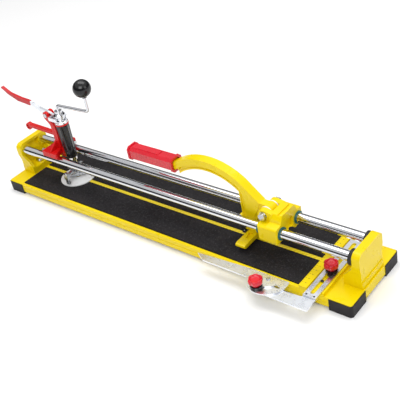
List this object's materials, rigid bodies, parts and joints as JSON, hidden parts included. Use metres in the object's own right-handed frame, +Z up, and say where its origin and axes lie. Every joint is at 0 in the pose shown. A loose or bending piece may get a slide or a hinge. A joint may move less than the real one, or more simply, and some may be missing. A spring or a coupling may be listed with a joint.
{
  "type": "manual tile cutter",
  "caption": "Manual rail tile cutter with a hinged scoring and breaking arm, an adjustable side guide with a mitre rule, and a crank-turned circular hole cutter on the same rails.",
  "frame": {"origin": "under the middle of the whole tool's bounding box, on the bench", "axes": "+X along the rails towards the fence end, +Y towards the back, +Z up"},
  "size_m": [0.7836, 0.181, 0.2407],
  "materials": {
    "yellow_paint": "semi-gloss canary yellow enamel on cast and pressed metal",
    "red_paint": "gloss red enamel on cast metal",
    "red_plastic": "satin crimson moulded plastic",
    "red_vinyl": "soft dipped vinyl, semi-gloss red",
    "black_plastic": "gloss black moulded plastic",
    "white_plastic": "matte white plastic",
    "teal_plastic": "low-friction teal plastic",
    "pad_rubber": "matte anthracite rubber with a light speckle",
    "foot_rubber": "matte dark grey moulded rubber",
    "black_rubber": "matte black rubber",
    "chrome_steel": "polished chrome-plated steel",
    "bright_zinc": "bright zinc-plated steel",
    "sheet_steel": "bright rolled sheet steel",
    "carbide": "ground tungsten carbide"
  },
  "bodies": {
    "base": {"base_tray": "yellow_paint", "rubber_feet": "foot_rubber", "tile_pad_front": "pad_rubber", "tile_pad_back": "pad_rubber", "breaker_strip": "yellow_paint", "protective_disc": "white_plastic", "rail_front": "chrome_steel", "rail_back": "chrome_steel", "end_bracket_right": "yellow_paint", "end_bracket_left": "yellow_paint", "rail_bumpers": "black_rubber", "bracket_bolts": "bright_zinc", "fence": "yellow_paint", "fence_stud": "bright_zinc", "fence_washer": "black_plastic"},
    "fence_knob": {"fence_knob": "red_plastic"},
    "guide": {"slotted_arm": "sheet_steel", "front_rule": "sheet_steel", "guide_rivets": "bright_zinc", "protractor_pivot": "bright_zinc", "mitre_stud": "bright_zinc", "mitre_washer": "black_plastic"},
    "mitre_rule": {"protractor_plate": "sheet_steel", "mitre_blade": "sheet_steel"},
    "mitre_knob": {"mitre_knob": "red_plastic"},
    "carriage": {"carriage_body": "yellow_paint", "rail_bushes": "teal_plastic", "hinge_bolt": "bright_zinc", "hinge_nut": "bright_zinc", "hinge_washers": "white_plastic"},
    "arm": {"arm_casting": "yellow_paint", "wheel_fork": "bright_zinc", "wheel_axle": "bright_zinc", "wheel_screw": "bright_zinc", "grip": "red_plastic", "grip_panel": "red_plastic", "grip_pins": "red_plastic", "foot_pin": "bright_zinc"},
    "scoring_wheel": {"scoring_wheel": "carbide"},
    "breaker_foot": {"breaker_foot": "yellow_paint"},
    "cutter": {"cutter_frame": "red_paint", "clamp_screws": "bright_zinc", "squeeze_handle": "red_paint", "lever_pin": "bright_zinc", "column_sleeve": "black_plastic", "column_ring": "red_paint", "column_bush": "chrome_steel"},
    "lift_lever": {"lever_bar": "sheet_steel", "lever_grip": "red_vinyl"},
    "feed": {"lift_collar": "chrome_steel"},
    "crank": {"crank_spindle": "chrome_steel", "head_block": "bright_zinc", "centre_foot": "bright_zinc"},
    "ball": {"ball_knob": "black_plastic"},
    "trammel": {"trammel_bar": "bright_zinc", "trammel_leg": "bright_zinc", "trammel_screw": "bright_zinc", "circle_axle": "bright_zinc"},
    "circle_wheel": {"circle_wheel": "carbide"}
  },
  "joints": [
    {"name": "carriage_slide", "type": "slide", "parent": "base", "child": "carriage", "axis": [1, 0, 0], "range_m": [-0.155, 0.095]},
    {"name": "arm_hinge", "type": "hinge", "parent": "carriage", "child": "arm", "pos_m": [0.2165, 0.02, 0.09], "axis": [0, 1, 0], "range_deg": [0, 20]},
    {"name": "scoring_wheel_spin", "type": "hinge", "parent": "arm", "child": "scoring_wheel", "pos_m": [0.1595, 0.02, 0.0305], "axis": [0, 1, 0], "continuous": true},
    {"name": "foot_rock", "type": "hinge", "parent": "arm", "child": "breaker_foot", "pos_m": [0.1795, 0.02, 0.043], "axis": [1, 0, 0], "range_deg": [-3, 3]},
    {"name": "cutter_slide", "type": "slide", "parent": "base", "child": "cutter", "axis": [1, 0, 0], "range_m": [-0.04, 0.15]},
    {"name": "spindle_feed", "type": "slide", "parent": "cutter", "child": "feed", "axis": [0, 0, 1], "range_m": [0, 0.011]},
    {"name": "lever_swing", "type": "hinge", "parent": "cutter", "child": "lift_lever", "pos_m": [-0.271, 0.02, 0.1545], "axis": [0, -1, 0], "range_deg": [0, 20.1]},
    {"name": "crank_turn", "type": "hinge", "parent": "feed", "child": "crank", "pos_m": [-0.2395, 0.02, 0.1], "axis": [0, 0, 1], "continuous": true},
    {"name": "ball_spin", "type": "hinge", "parent": "crank", "child": "ball", "pos_m": [-0.1605, 0.026, 0.2245], "axis": [0, 0, 1], "continuous": true},
    {"name": "trammel_slide", "type": "slide", "parent": "crank", "child": "trammel", "axis": [0.1959, -0.9806, 0], "range_m": [-0.012, 0.003]},
    {"name": "circle_wheel_spin", "type": "hinge", "parent": "trammel", "child": "circle_wheel", "pos_m": [-0.23362, -0.00942, 0.0296], "axis": [0.1959, -0.9806, 0], "continuous": true},
    {"name": "guide_slide", "type": "slide", "parent": "base", "child": "guide", "axis": [0, 1, 0], "range_m": [-0.06, 0.003]},
    {"name": "mitre_swing", "type": "hinge", "parent": "guide", "child": "mitre_rule", "pos_m": [0.256, -0.0575, 0.0244], "axis": [0, 0, -1], "range_deg": [0, 30]},
    {"name": "mitre_knob_turn", "type": "hinge", "parent": "guide", "child": "mitre_knob", "pos_m": [0.2495, -0.079, 0.035], "axis": [0, 0, 1], "continuous": true},
    {"name": "fence_knob_turn", "type": "hinge", "parent": "base", "child": "fence_knob", "pos_m": [0.3297, 0.0015, 0.035], "axis": [0, 0, 1], "continuous": true}
  ],
  "couplings": [
    {"joint": "lever_swing", "follows": "spindle_feed", "rad_per_m": 31.75}
  ]
}
